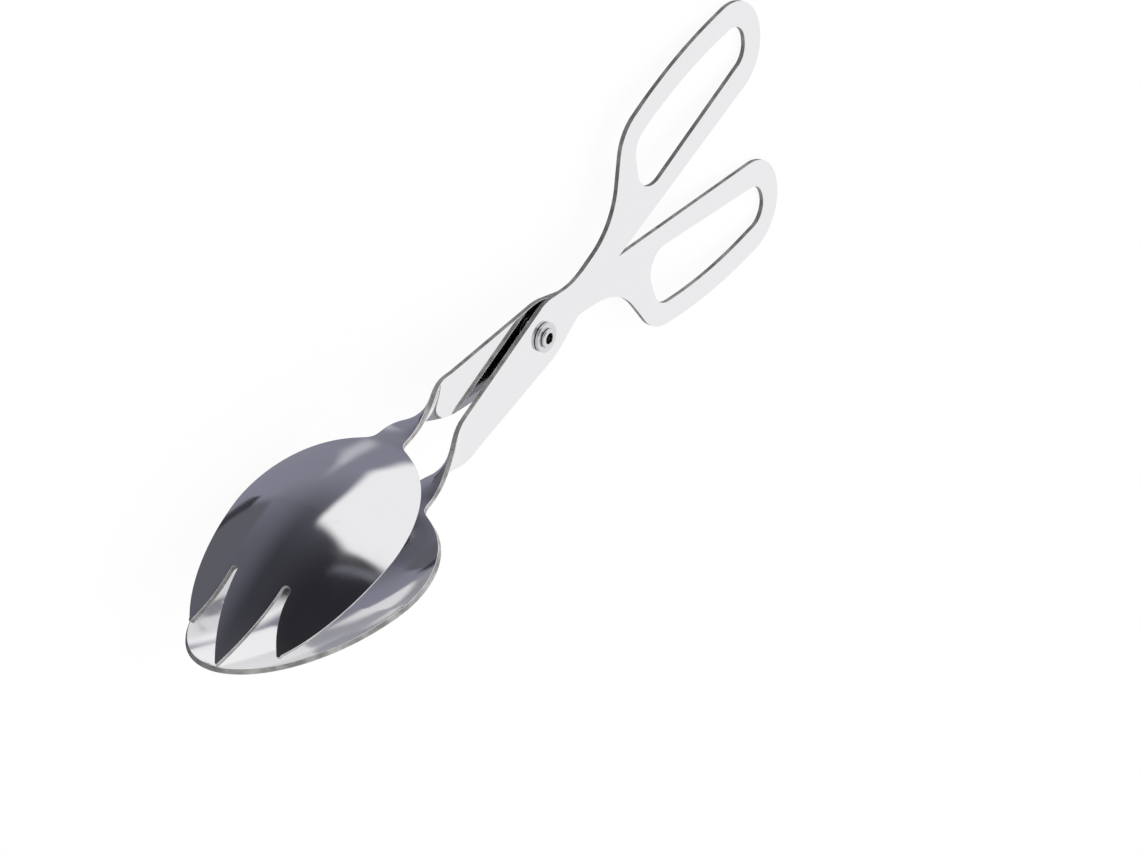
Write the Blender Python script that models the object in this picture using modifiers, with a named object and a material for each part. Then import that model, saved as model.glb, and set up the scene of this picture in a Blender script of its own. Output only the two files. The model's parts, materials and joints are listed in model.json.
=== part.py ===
"""Scissor-type serving tongs of pressed stainless sheet.

Two arms are stamped from one thickness of sheet. Each has a finger loop, a flat
lever, a neck twisted through a quarter turn, and a dished blade. They cross at a
semi-tubular rivet with its washers. One blade is a plain spoon and the other is
slotted into three tines.

The arms are modelled in a design frame. The rivet's axis is Z, X runs from the
rivet towards the blades, and Y is the way in which the arms open. The rivet's
hollow end is up. Both arms share one shape, and the fork arm is that shape
turned half a turn about X. At the end an empty carries everything down on to a
level surface, where the tongs rest on both loops and on one blade.
"""

import math

import bmesh
import bpy
import numpy as np
from mathutils import Matrix, Vector

# Sheet and clearances
SHEET = 0.0015
SEAT_GAP = 0.0002
CUT_OVERRUN = 0.006

# Handle, measured from the rivet
HANDLE_LENGTH = 0.1205
HANDLE_SPREAD = 0.0457
LEVER_LENGTH = 0.0361
LEVER_WIDTH = 0.0134
LEVER_OFFSET = 0.00695

# Corners of the flat blank between the lever's two front corners, each as
# shares of HANDLE_LENGTH, HANDLE_SPREAD and HANDLE_SPREAD: x, y and radius
blank_corner_shares = [
    (-0.029, 0.209, 0.38),
    (-0.128, 0.098, 0.56),
    (-0.314, -0.026, 1.13),
    (-0.993, -0.377, 0.32),
    (-1.006, -1.002, 0.34),
    (-0.657, -0.990, 3.7),
    (-0.416, -0.822, 0.32),
    (-0.323, -0.267, 0.51),
    (-0.143, -0.149, 0.47),
    (-0.032, -0.213, 0.28),
]

# Corners of the finger hole, as the same shares
finger_hole_corner_shares = [
    (-0.434, -0.230, 0.166),
    (-0.450, -0.684, 0.170),
    (-0.659, -0.823, 3.4),
    (-0.941, -0.821, 0.151),
    (-0.925, -0.535, 0.141),
]

# The most that two corners' arcs may take of the side between them
fullest_side_share = 0.99

# Neck, where the strip turns a quarter turn and narrows
NECK_WIDTH = 0.0090
TWIST_START = 0.0390
TWIST_END = 0.0635
NARROW_END = 0.0550
NECK_LEAVING_SLOPE = 0.24
CORNER_POWER = 4
SHOULDER_SOFTNESS = 0.0016

# Blade, measured from the rivet
BLADE_START = 0.0668
BLADE_LENGTH = 0.0812
BLADE_WIDTH = 0.0544
BLADE_DEPTH = 0.0092
RIM_OFFSET = 0.0115
TIP_CLEARANCE = 0.0004
TIP_DRIFT = 0.0022

widest_place_share = 0.427
tip_point_share = 0.03
rim_bow_share = 0.67
dish_start_share = -0.175
dish_full_share = 0.22

# Slots between the tines, as shares of BLADE_LENGTH and of half BLADE_WIDTH
SLOT_END_RADIUS = 0.0013
slot_end_share = (0.715, 0.333)
side_tine_tip_share = (0.898, 0.545)
middle_tine_tip_share = (0.998, 0.012)
side_tine_bow_share = 0.085
middle_tine_bow_share = 0.062
slot_mouth_share = 1.12

# Rivet and washers
SPACER_THICKNESS = 0.0008
SHANK_DIAMETER = 0.0044
PIVOT_HOLE_DIAMETER = 0.0050
SPACER_DIAMETER = 0.0094
TAIL_WASHER_DIAMETER = 0.0090
TAIL_WASHER_THICKNESS = 0.0010
HEAD_WASHER_DIAMETER = 0.0094
HEAD_WASHER_THICKNESS = 0.0006
HEAD_DIAMETER = 0.0093
HEAD_FLAT_DIAMETER = 0.0062
HEAD_HEIGHT = 0.0018
HEAD_RIM_HEIGHT = 0.0005
ROLL_DIAMETER = 0.0060
ROLL_HEIGHT = 0.0009
BORE_DIAMETER = 0.0032
BORE_TIP_HEIGHT = 0.0006
WASHER_EDGE_BREAK = 0.0001

# Mesh fineness
ARC_STEP = 0.0022
STRIP_COLUMNS = 12
NECK_STATIONS = 18
BLADE_BASE_STATIONS = 13
BLADE_TIP_STATIONS = 12
TURN_STEPS = 32
HOLE_SIDES = 32
ROLL_SIDES = 5
SLOT_END_SIDES = 8
SLOT_SIDE_POINTS = 6
MERGE_DISTANCE = 0.00001
SHARP_ANGLE = math.radians(35)
SETTLING_ROUNDS = 6

ARM_GAP = SPACER_THICKNESS + 2 * SEAT_GAP
ARM_MIDDLE = ARM_GAP / 2 + SHEET / 2
ARM_FACE = ARM_GAP / 2 + SHEET
BLADE_END = BLADE_START + BLADE_LENGTH
BLADE_WIDEST = BLADE_START + widest_place_share * BLADE_LENGTH


def clear_scene():
    """Remove every object, so that the script can run again."""
    for old in list(bpy.data.objects):
        bpy.data.objects.remove(old, do_unlink=True)


def new_collection(name):
    """Make a collection in the scene."""
    collection = bpy.data.collections.new(name)
    bpy.context.scene.collection.children.link(collection)
    return collection


def steel(name, colour, roughness):
    """Make a metal finish."""
    material = bpy.data.materials.new(name)
    material.use_nodes = True
    shader = material.node_tree.nodes["Principled BSDF"]
    shader.inputs["Base Color"].default_value = (*colour, 1.0)
    shader.inputs["Metallic"].default_value = 1.0
    shader.inputs["Roughness"].default_value = roughness
    return material


def smoothstep(value):
    """Rise from 0 to 1 with level ends as value goes from 0 to 1."""
    held = np.clip(value, 0.0, 1.0)
    return held * held * (3.0 - 2.0 * held)


def side_fits(corners):
    """Give each side's share, at most 1, by which the arcs at its two ends shrink to fit it."""
    count = len(corners)
    places = [Vector(corner[:2]) for corner in corners]
    sides = [places[(index + 1) % count] - place for index, place in enumerate(places)]
    reaches = []
    for index, (x, y, radius) in enumerate(corners):
        half_angle = (-sides[index - 1]).angle(sides[index]) / 2
        reaches.append(radius / math.tan(half_angle))
    fits = []
    for index, side in enumerate(sides):
        needed = reaches[index] + reaches[(index + 1) % count]
        fits.append(min(1.0, fullest_side_share * side.length / needed) if needed > 0 else 1.0)
    return fits


def rounded_outline(corners):
    """Give a closed polygon's points with its corners (x, y, radius) as arcs."""
    points = []
    count = len(corners)
    fits = side_fits(corners)
    for index, (x, y, radius) in enumerate(corners):
        radius = radius * min(fits[index - 1], fits[index])
        corner = Vector((x, y))
        before = (Vector(corners[index - 1][:2]) - corner).normalized()
        after = (Vector(corners[(index + 1) % count][:2]) - corner).normalized()
        if radius == 0:
            points.append(corner)
            continue
        half_angle = before.angle(after) / 2
        centre = corner + (before + after).normalized() * radius / math.sin(half_angle)
        first = corner + before * radius / math.tan(half_angle) - centre
        last = corner + after * radius / math.tan(half_angle) - centre
        turn = math.atan2(first.cross(last), first.dot(last))
        steps = max(2, math.ceil(abs(turn) * radius / ARC_STEP))
        for step in range(steps + 1):
            points.append(centre + Matrix.Rotation(turn * step / steps, 2) @ first)
    return points


def handle_corners(shares):
    """Turn corner shares into corners (x, y, radius)."""
    return [(x * HANDLE_LENGTH, y * HANDLE_SPREAD, radius * HANDLE_SPREAD) for x, y, radius in shares]


def blade_half_width(x):
    """Give half the blade's width, two quarter ellipses that meet at the widest place.

    The ellipse at the neck starts softly, along a hyperbola, which rounds the shoulders.
    """
    towards_tip = np.clip((x - BLADE_WIDEST) / (BLADE_END - BLADE_WIDEST), 0.0, 1.0)
    past_base = x - BLADE_START
    softened = BLADE_START + (past_base + np.sqrt(past_base ** 2 + SHOULDER_SOFTNESS ** 2)) / 2
    towards_neck = np.clip((BLADE_WIDEST - softened) / (BLADE_WIDEST - BLADE_START), 0.0, 1.0)
    pointing = 1.0 - tip_point_share * towards_tip * (2.0 - towards_tip)
    round_tip = np.sqrt(1.0 - towards_tip ** 2) * pointing
    round_base = np.sqrt(1.0 - towards_neck ** 2)
    return BLADE_WIDTH / 2 * np.where(x >= BLADE_WIDEST, round_tip, round_base)


def strip_half_width(x):
    """Give half the strip's width: lever, neck, a filleted corner, then the blade."""
    narrowing = smoothstep((x - LEVER_LENGTH) / (NARROW_END - LEVER_LENGTH))
    neck = LEVER_WIDTH / 2 + (NECK_WIDTH / 2 - LEVER_WIDTH / 2) * narrowing
    blade = blade_half_width(x)
    filleted = (neck ** CORNER_POWER + blade ** CORNER_POWER) ** (1 / CORNER_POWER)
    return np.where(x < BLADE_WIDEST, filleted, blade)


def dish(x):
    """Give the cross-section's curvature, nothing on the lever and full in the blade."""
    share = (x - BLADE_START) / BLADE_LENGTH
    deepening = smoothstep((share - dish_start_share) / (dish_full_share - dish_start_share))
    return BLADE_DEPTH / (BLADE_WIDTH / 2) ** 2 * deepening


def rim_line(x):
    """Give how far out the blade's rim stands, falling in a bow from neck to tip."""
    share = (x - BLADE_START) / BLADE_LENGTH
    fall = (1.0 - rim_bow_share) * share + rim_bow_share * share ** 2
    return RIM_OFFSET + (TIP_CLEARANCE + SHEET / 2 - RIM_OFFSET) * fall


def blade_spine(x):
    """Give how far out the bottom of the blade's dish stands."""
    return rim_line(x) + dish(x) * strip_half_width(x) ** 2


def spine(x):
    """Give the strip's middle line: how far out it stands, and how high."""
    blade = blade_spine(x)
    span = BLADE_START - LEVER_LENGTH
    share = np.clip((x - LEVER_LENGTH) / span, 0.0, 1.0)
    joining = (blade_spine(BLADE_START + MERGE_DISTANCE) - blade_spine(BLADE_START)) / MERGE_DISTANCE
    turned_share = smoothstep(share)
    neck = LEVER_OFFSET * (1.0 - turned_share) + blade_spine(BLADE_START) * turned_share
    neck = neck + span * NECK_LEAVING_SLOPE * share * (1.0 - share) ** 2
    neck = neck - span * joining * share ** 2 * (1.0 - share)
    out = np.where(x < BLADE_START, neck, blade)
    share = (x - LEVER_LENGTH) / (BLADE_END - LEVER_LENGTH)
    high = ARM_MIDDLE - (ARM_MIDDLE + TIP_DRIFT) * share ** 2 * (3.0 - share) / 2
    return out, high


def strip_point(x, across):
    """Give a point of the strip's middle surface; across runs from -1 to 1."""
    out, high = spine(x)
    turn = math.pi / 2 * smoothstep((x - TWIST_START) / (TWIST_END - TWIST_START))
    along_width = strip_half_width(x) * across
    inward = dish(x) * along_width ** 2
    y = out - np.cos(turn) * along_width - np.sin(turn) * inward
    z = high + np.sin(turn) * along_width - np.cos(turn) * inward
    return np.stack([x + 0.0 * across, y, z], axis=-1)


def strip_stations():
    """Give the places along X of the strip's cross-sections, closer where it bends."""
    neck = np.linspace(LEVER_LENGTH, BLADE_START, NECK_STATIONS + 1)
    quarter = np.linspace(0.0, math.pi / 2, BLADE_BASE_STATIONS + 1)[1:]
    base = BLADE_WIDEST - (BLADE_WIDEST - BLADE_START) * np.cos(quarter)
    quarter = np.linspace(0.0, math.pi / 2, BLADE_TIP_STATIONS + 1)[1:-1]
    tip = BLADE_WIDEST + (BLADE_END - BLADE_WIDEST) * np.sin(quarter)
    return np.concatenate([neck, base, tip])


def add_loop(mesh, points):
    """Add a closed chain of edges through points and return the edges."""
    return [mesh.edges.new((points[i - 1], points[i])) for i in range(len(points))]


def arm_surface():
    """Build the middle surface of one arm, an open sheet from loop to blade tip."""
    mesh = bmesh.new()
    across = np.linspace(1.0, -1.0, STRIP_COLUMNS + 1)
    rows = []
    for x in strip_stations():
        rows.append([mesh.verts.new(p) for p in strip_point(x, across)])
    for near, far in zip(rows, rows[1:]):
        for i in range(STRIP_COLUMNS):
            mesh.faces.new((near[i], near[i + 1], far[i + 1], far[i]))
    tip = mesh.verts.new(strip_point(BLADE_END, np.zeros(1))[0])
    for i in range(STRIP_COLUMNS):
        mesh.faces.new((rows[-1][i], rows[-1][i + 1], tip))

    lever_low = (LEVER_LENGTH, LEVER_OFFSET - LEVER_WIDTH / 2, 0)
    lever_high = (LEVER_LENGTH, LEVER_OFFSET + LEVER_WIDTH / 2, 0)
    corners = [lever_low, lever_high] + handle_corners(blank_corner_shares)
    outline = rounded_outline(corners)[2:]
    flat = [mesh.verts.new((p.x, p.y, ARM_MIDDLE)) for p in outline]
    edges = []
    chain = [rows[0][-1]] + flat + [rows[0][0]]
    for first, second in zip(chain, chain[1:]):
        edges.append(mesh.edges.new((first, second)))
    for first, second in zip(rows[0], rows[0][1:]):
        edges.append(mesh.edges.get((first, second)))
    finger_hole = rounded_outline(handle_corners(finger_hole_corner_shares))
    edges += add_loop(mesh, [mesh.verts.new((p.x, p.y, ARM_MIDDLE)) for p in finger_hole])
    turns = [math.tau * i / HOLE_SIDES for i in range(HOLE_SIDES)]
    radius = PIVOT_HOLE_DIAMETER / 2
    pivot_hole = [(radius * math.cos(t), radius * math.sin(t), ARM_MIDDLE) for t in turns]
    edges += add_loop(mesh, [mesh.verts.new(p) for p in pivot_hole])
    bmesh.ops.triangle_fill(mesh, edges=edges, use_beauty=True)
    bmesh.ops.recalc_face_normals(mesh, faces=mesh.faces)
    return mesh


def slot_outline(side):
    """Give one slot's outline as points (x, z), from its round end out past the rim."""
    half_width = BLADE_WIDTH / 2

    def place(share):
        return Vector((BLADE_START + share[0] * BLADE_LENGTH, share[1] * half_width))

    end = place(slot_end_share)
    outer_tip = place(side_tine_tip_share)
    inner_tip = place(middle_tine_tip_share)

    def bowed(tip, sign, bow_share):
        run = tip - end
        square = Vector((-run.y, run.x)).normalized() * sign
        points = []
        for step in range(SLOT_SIDE_POINTS + 1):
            share = step / SLOT_SIDE_POINTS
            bow = -4 * share * (1 - share) * bow_share * run.length
            points.append(end + run * share + square * (SLOT_END_RADIUS * (1 - share) + bow))
        return points

    outer = bowed(outer_tip, 1, side_tine_bow_share)
    inner = bowed(inner_tip, -1, middle_tine_bow_share)
    first = outer[0] - end
    last = inner[0] - end
    sweep = (math.atan2(last.y, last.x) - math.atan2(first.y, first.x)) % math.tau
    cap = []
    for step in range(1, SLOT_END_SIDES):
        cap.append(end + Matrix.Rotation(sweep * step / SLOT_END_SIDES, 2) @ first)
    mouth = BLADE_START + slot_mouth_share * BLADE_LENGTH
    spread = (outer_tip - end).normalized() * (mouth - outer_tip.x)
    points = outer[::-1] + cap + inner + [Vector((mouth, inner_tip.y)), outer_tip + spread]
    return [(p.x, side * p.y) for p in points]


def slot_cutter(name, side, collection):
    """Make a prism through the blade with one slot's outline."""
    mesh = bmesh.new()
    low = -CUT_OVERRUN
    high = RIM_OFFSET + BLADE_DEPTH + CUT_OVERRUN
    ring = []
    for x, z in slot_outline(side):
        ring.append(mesh.verts.new((x, low, z + float(spine(x)[1]))))
    face = mesh.faces.new(ring)
    pushed = bmesh.ops.extrude_face_region(mesh, geom=[face])["geom"]
    moved = [item for item in pushed if isinstance(item, bmesh.types.BMVert)]
    bmesh.ops.translate(mesh, verts=moved, vec=(0, high - low, 0))
    bmesh.ops.recalc_face_normals(mesh, faces=mesh.faces)
    cutter = to_object(mesh, name, collection, None)
    cutter.hide_render = True
    cutter.display_type = "WIRE"
    return cutter


def to_object(mesh, name, collection, material):
    """Turn a bmesh into a named object."""
    data = bpy.data.meshes.new(name)
    mesh.to_mesh(data)
    mesh.free()
    if material:
        data.materials.append(material)
    thing = bpy.data.objects.new(name, data)
    collection.objects.link(thing)
    return thing


def add_thickness(thing):
    """Give an open sheet its thickness, half to each side."""
    wall = thing.modifiers.new("sheet", "SOLIDIFY")
    wall.thickness = SHEET
    wall.offset = 0.0
    wall.use_even_offset = True
    wall.use_quality_normals = True


def build_arm(name, collection, material):
    """Make one arm as a solid sheet."""
    arm = to_object(arm_surface(), name, collection, material)
    add_thickness(arm)
    return arm


def turned(name, profile, collection, material, closed):
    """Turn a profile of points (radius, z) about the rivet's axis."""
    mesh = bmesh.new()
    chain = [mesh.verts.new((radius, 0, z)) for radius, z in profile]
    for first, second in zip(chain, chain[1:]):
        mesh.edges.new((first, second))
    if closed:
        mesh.edges.new((chain[-1], chain[0]))
    thing = to_object(mesh, name, collection, material)
    screw = thing.modifiers.new("turn", "SCREW")
    screw.axis = "Z"
    screw.angle = math.tau
    screw.steps = TURN_STEPS
    screw.render_steps = TURN_STEPS
    screw.use_merge_vertices = True
    screw.merge_threshold = MERGE_DISTANCE
    screw.use_smooth_shade = False
    return thing


def washer(name, bottom, thickness, diameter, collection, material):
    """Make a flat washer with slightly broken outer edges."""
    outer = diameter / 2
    inner = PIVOT_HOLE_DIAMETER / 2
    top = bottom + thickness
    broken = WASHER_EDGE_BREAK
    profile = [
        (inner, top),
        (outer - broken, top),
        (outer, top - broken),
        (outer, bottom + broken),
        (outer - broken, bottom),
        (inner, bottom),
    ]
    return turned(name, profile, collection, material, True)


def quarter_arc(centre, radius_x, radius_z, start, end):
    """Give points of an elliptic arc between two angles."""
    points = []
    for step in range(ROLL_SIDES + 1):
        angle = start + (end - start) * step / ROLL_SIDES
        points.append((centre[0] + radius_x * math.cos(angle), centre[1] + radius_z * math.sin(angle)))
    return points


def build_rivet(collection, material):
    """Make the semi-tubular rivet: rolled hollow end up, button head down."""
    shank = SHANK_DIAMETER / 2
    roll = ROLL_DIAMETER / 2
    bore = BORE_DIAMETER / 2
    roll_seat = ARM_FACE + SEAT_GAP + TAIL_WASHER_THICKNESS + SEAT_GAP
    roll_middle = roll_seat + ROLL_HEIGHT / 2
    head_seat = -ARM_FACE - SEAT_GAP - 2 * (HEAD_WASHER_THICKNESS + SEAT_GAP)
    head_top = head_seat - HEAD_HEIGHT
    bore_floor = -ARM_FACE
    crest = (roll + bore) / 2
    right_angle = math.pi / 2
    profile = [(0, bore_floor - BORE_TIP_HEIGHT), (bore, bore_floor)]
    profile += quarter_arc((crest, roll_middle), crest - bore, ROLL_HEIGHT / 2, math.pi, right_angle)
    profile += quarter_arc((crest, roll_middle), roll - crest, ROLL_HEIGHT / 2, right_angle, 0)[1:]
    profile += [(roll, roll_seat), (shank, roll_seat), (shank, head_seat), (HEAD_DIAMETER / 2, head_seat)]
    flat = HEAD_FLAT_DIAMETER / 2
    rim = head_seat - HEAD_RIM_HEIGHT
    profile += quarter_arc((flat, rim), HEAD_DIAMETER / 2 - flat, rim - head_top, 0, -right_angle)
    profile.append((0, head_top))
    return turned("rivet", profile, collection, material, False)


def build_washers(collection, material):
    """Make the washers in the order of the stack, from the hollow end down."""
    spacing = HEAD_WASHER_THICKNESS + SEAT_GAP
    first = -ARM_FACE - spacing
    tail = ARM_FACE + SEAT_GAP
    middle = -SPACER_THICKNESS / 2
    stack = [
        ("tail_washer", tail, TAIL_WASHER_THICKNESS, TAIL_WASHER_DIAMETER),
        ("spacer_washer", middle, SPACER_THICKNESS, SPACER_DIAMETER),
        ("head_washer_inner", first, HEAD_WASHER_THICKNESS, HEAD_WASHER_DIAMETER),
        ("head_washer_outer", first - spacing, HEAD_WASHER_THICKNESS, HEAD_WASHER_DIAMETER),
    ]
    return [washer(name, z, t, d, collection, material) for name, z, t, d in stack]


def world_points(things):
    """Give the evaluated corner points of things, one array for each."""
    bpy.context.view_layer.update()
    graph = bpy.context.evaluated_depsgraph_get()
    clouds = []
    for thing in things:
        evaluated = thing.evaluated_get(graph)
        mesh = evaluated.to_mesh()
        flat = np.empty(len(mesh.vertices) * 3)
        mesh.vertices.foreach_get("co", flat)
        matrix = np.array(evaluated.matrix_world)
        clouds.append(flat.reshape(-1, 3) @ matrix[:3, :3].T + matrix[:3, 3])
        evaluated.to_mesh_clear()
    return clouds


def shade(things):
    """Shade the round and bent faces smooth and keep the cut edges sharp."""
    bpy.context.view_layer.update()
    graph = bpy.context.evaluated_depsgraph_get()
    for thing in things:
        finished = bpy.data.meshes.new_from_object(thing.evaluated_get(graph))
        finished.shade_smooth()
        finished.set_sharp_from_angle(angle=SHARP_ANGLE)
        thing.modifiers.clear()
        thing.data = finished


def floor_normal(spoon, fork):
    """Find the plane that both loops and one blade rest on, and give its upward normal."""
    normal = np.array([0.0, 0.0, 1.0])
    handles = [cloud[cloud[:, 0] < 0] for cloud in (spoon, fork)]
    blades = np.concatenate([cloud[cloud[:, 0] > LEVER_LENGTH] for cloud in (spoon, fork)])
    for _ in range(SETTLING_ROUNDS):
        feet = [group[np.argmin(group @ normal)] for group in (*handles, blades)]
        normal = np.cross(feet[1] - feet[0], feet[2] - feet[0])
        normal = normal / np.linalg.norm(normal)
        normal = normal * np.sign(normal[2])
    return normal


def set_down(base, arms, things):
    """Turn and move the base so that the tongs lie on the level surface at the origin."""
    up = Vector(floor_normal(*world_points(arms)))
    along = (Vector((1, 0, 0)) - up * up.x).normalized()
    sideways = up.cross(along)
    base.matrix_world = Matrix((along, sideways, up)).to_4x4()
    cloud = np.concatenate(world_points(things))
    low = cloud.min(axis=0)
    high = cloud.max(axis=0)
    middle = (low + high) / 2
    base.location = (-middle[0], -middle[1], -low[2])


def main():
    """Build the tongs."""
    clear_scene()
    parts = new_collection("barbecue_tongs")
    cutters = new_collection("cutters")
    polished = steel("polished_stainless_steel", (0.76, 0.76, 0.77), 0.06)
    bright = steel("bright_rivet_steel", (0.70, 0.70, 0.71), 0.18)

    spoon_arm = build_arm("spoon_arm", parts, polished)
    fork_arm = build_arm("fork_arm", parts, polished)
    for name, side in (("upper_slot_cutter", 1), ("lower_slot_cutter", -1)):
        cutter = slot_cutter(name, side, cutters)
        cut = fork_arm.modifiers.new("slot", "BOOLEAN")
        cut.operation = "DIFFERENCE"
        cut.solver = "EXACT"
        cut.object = cutter
        cutter.parent = fork_arm
    rivet = build_rivet(parts, bright)
    washers = build_washers(parts, bright)

    base = bpy.data.objects.new("resting_pose", None)
    fork_pivot = bpy.data.objects.new("fork_pivot", None)
    parts.objects.link(base)
    parts.objects.link(fork_pivot)
    fork_pivot.parent = base
    fork_arm.parent = fork_pivot
    fork_arm.rotation_euler = (math.pi, 0, 0)
    fixed = [spoon_arm, rivet] + washers
    shade(fixed + [fork_arm])
    for thing in fixed:
        thing.parent = base
    set_down(base, (spoon_arm, fork_arm), fixed + [fork_arm])
    bpy.context.view_layer.update()


main()
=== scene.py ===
"""The looks of a pair of scissor-action tongs pressed from polished stainless sheet.

Each arm is drawn as a flat blank, an outline with its holes and slots. The blank is
bent into place as a whole: flat at the loop and lever, turned a quarter turn at the
neck, and dished at the blade. The sheet is then given its thickness, with small
rounded lips along every cut edge.
"""

import json
import math

import bmesh
import bpy
import numpy as np
from bpy.props import FloatProperty, FloatVectorProperty, PointerProperty
from mathutils import Matrix, Vector
from mathutils.geometry import delaunay_2d_cdt


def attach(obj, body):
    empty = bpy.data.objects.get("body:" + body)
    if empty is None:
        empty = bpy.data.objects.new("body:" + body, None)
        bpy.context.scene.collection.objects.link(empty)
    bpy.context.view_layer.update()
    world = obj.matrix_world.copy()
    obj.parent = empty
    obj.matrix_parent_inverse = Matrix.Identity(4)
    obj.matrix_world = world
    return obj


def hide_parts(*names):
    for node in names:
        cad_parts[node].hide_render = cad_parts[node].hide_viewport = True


bl_info = {
    "name": "Pressed steel tongs",
    "version": (1, 0, 0),
    "blender": (4, 5, 0),
    "location": "View3D > Sidebar > Tongs",
    "description": "Models scissor-action serving tongs and their studio stage",
    "category": "Add Mesh",
}

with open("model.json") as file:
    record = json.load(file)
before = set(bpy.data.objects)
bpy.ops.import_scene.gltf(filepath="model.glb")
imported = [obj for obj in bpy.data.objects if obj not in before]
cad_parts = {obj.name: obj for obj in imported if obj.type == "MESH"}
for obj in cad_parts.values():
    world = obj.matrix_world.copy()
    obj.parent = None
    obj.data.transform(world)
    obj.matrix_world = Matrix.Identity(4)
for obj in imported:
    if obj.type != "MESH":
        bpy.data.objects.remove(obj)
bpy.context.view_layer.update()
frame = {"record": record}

MM = 0.001

# Sheet and clearances, in millimetres
SHEET = 1.5
LIP_RADIUS = 0.12
SEAT_GAP = 0.2

# Handle and lever, measured from the rivet
HANDLE_LENGTH = 120.5
HANDLE_SPREAD = 45.7
LEVER_LENGTH = 36.1
LEVER_WIDTH = 13.4
LEVER_OFFSET = 6.95

# Corners of the flat blank: x as a share of the handle's length, y and radius of its spread
blank_corner_shares = [
    (-0.029, 0.209, 0.38),
    (-0.128, 0.098, 0.56),
    (-0.314, -0.026, 1.13),
    (-0.993, -0.377, 0.32),
    (-1.006, -1.002, 0.34),
    (-0.657, -0.990, 3.7),
    (-0.416, -0.822, 0.32),
    (-0.323, -0.267, 0.51),
    (-0.143, -0.149, 0.47),
    (-0.032, -0.213, 0.28),
]
finger_hole_corner_shares = [
    (-0.434, -0.230, 0.166),
    (-0.450, -0.684, 0.170),
    (-0.659, -0.823, 3.4),
    (-0.941, -0.821, 0.151),
    (-0.925, -0.535, 0.141),
]

# Neck
NECK_WIDTH = 9.0
TWIST_START = 39.0
TWIST_END = 63.5
NARROW_END = 55.0
NECK_LEAVING_SLOPE = 0.24
CORNER_POWER = 4
SHOULDER_SOFTNESS = 1.6

# Blade
BLADE_START = 66.8
BLADE_LENGTH = 81.2
BLADE_WIDTH = 54.4
BLADE_DEPTH = 9.2
RIM_OFFSET = 11.5
TIP_CLEARANCE = 0.4
TIP_DRIFT = 2.2
widest_place_share = 0.427
tip_point_share = 0.03
rim_bow_share = 0.67
dish_start_share = -0.175
dish_full_share = 0.22

# Slots between the tines, as shares of the blade's length and of half its width
SLOT_END_RADIUS = 1.3
TINE_TIP_RADIUS = 0.45
slot_end_share = (0.715, 0.333)
side_tine_tip_share = 0.898
middle_tine_tip_share = (0.998, 0.012)
side_tine_bow_share = 0.085
middle_tine_bow_share = 0.062

# Rivet and washers
SPACER_THICKNESS = 0.8
SHANK_DIAMETER = 4.4
PIVOT_HOLE_DIAMETER = 5.0
SPACER_DIAMETER = 9.4
TAIL_WASHER_DIAMETER = 9.0
TAIL_WASHER_THICKNESS = 1.0
HEAD_WASHER_DIAMETER = 9.4
HEAD_WASHER_THICKNESS = 0.6
HEAD_DIAMETER = 9.3
HEAD_FLAT_DIAMETER = 6.2
HEAD_HEIGHT = 1.8
HEAD_RIM_HEIGHT = 0.5
HEAD_DIMPLE = 0.12
ROLL_DIAMETER = 6.0
ROLL_HEIGHT = 0.9
BORE_DIAMETER = 3.2
BORE_TIP_HEIGHT = 0.6
WASHER_EDGE_RADIUS = 0.14

# Mesh fineness
OUTLINE_STEP = 0.45
GRID_STEP = 1.15
ARC_STEPS = 40
LIP_STEPS = 4
TURN_STEPS = 128
TINE_TIP_STEPS = 12
SLOT_END_STEPS = 16
PIVOT_HOLE_STEPS = 64
ROLL_STEPS = 25
DOME_STEPS = 14
DIMPLE_STEPS = 10
WASHER_FILLET_STEPS = 6
EDGE_CLEARANCE_SHARE = 0.6
BATCHES = 16
TINY_STEP = 0.002
SAME_POINT = 1e-9
TRIANGLE_TOLERANCE = 1e-6
MERGE_DISTANCE = 1e-4
SHARP_ANGLE = math.radians(28)

# Finishes: sizes and depths of their marks in millimetres
HAZE_SIZE = 14.0
HAZE_LEVELS = (0.35, 0.75)
HAZE_ROUGHNESS = 0.05
SCRATCH_LENGTH = 22.0
SCRATCH_WIDTH = 0.35
SCRATCH_TURN = (0.3, 0.5, 0.6)
SCRATCH_LEVELS = (0.69, 0.76)
SCRATCH_ROUGHNESS = 0.12
SCRATCH_DEPTH = 0.001
WAVE_SIZE = 9.0
WAVE_DEPTH = 0.02
EDGE_GRAIN_SIZE = 0.3
EDGE_GRAIN_DEPTH = 0.008
TEAR_SIZE = 4.0
TEAR_LEVELS = (0.35, 0.65)
RIVET_GRAIN_SIZE = 0.6
RIVET_GRAIN_DEPTH = 0.01

ARM_GAP = SPACER_THICKNESS + 2 * SEAT_GAP
ARM_MIDDLE = ARM_GAP / 2 + SHEET / 2
ARM_FACE = ARM_GAP / 2 + SHEET
BLADE_END = BLADE_START + BLADE_LENGTH
BLADE_WIDEST = BLADE_START + widest_place_share * BLADE_LENGTH

# Camera: the photograph's place, turn and field of view, in the tongs' frame
CAMERA_PLACE = (0.4754, -0.6384, 0.5874)
CAMERA_TURN_DEGREES = (-34.51, -46.98, 169.33)
CAMERA_LENS = 108.7
SENSOR_WIDTH = 36.0
CAMERA_LIFT_SHARE = 0.001
CAMERA_NEAREST = 0.01

# Stage
FLOOR_SIDE = 6.0
FLOOR_DROP = 0.0004
LAMP_HEIGHT = 1.6
LAMP_SIDE = 1.8
LAMP_POWER = 14.0
ROOM_LIGHT = 0.72
BACKDROP_SHARE = 0.94
WHITE = (1.0, 1.0, 1.0, 1.0)

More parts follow.
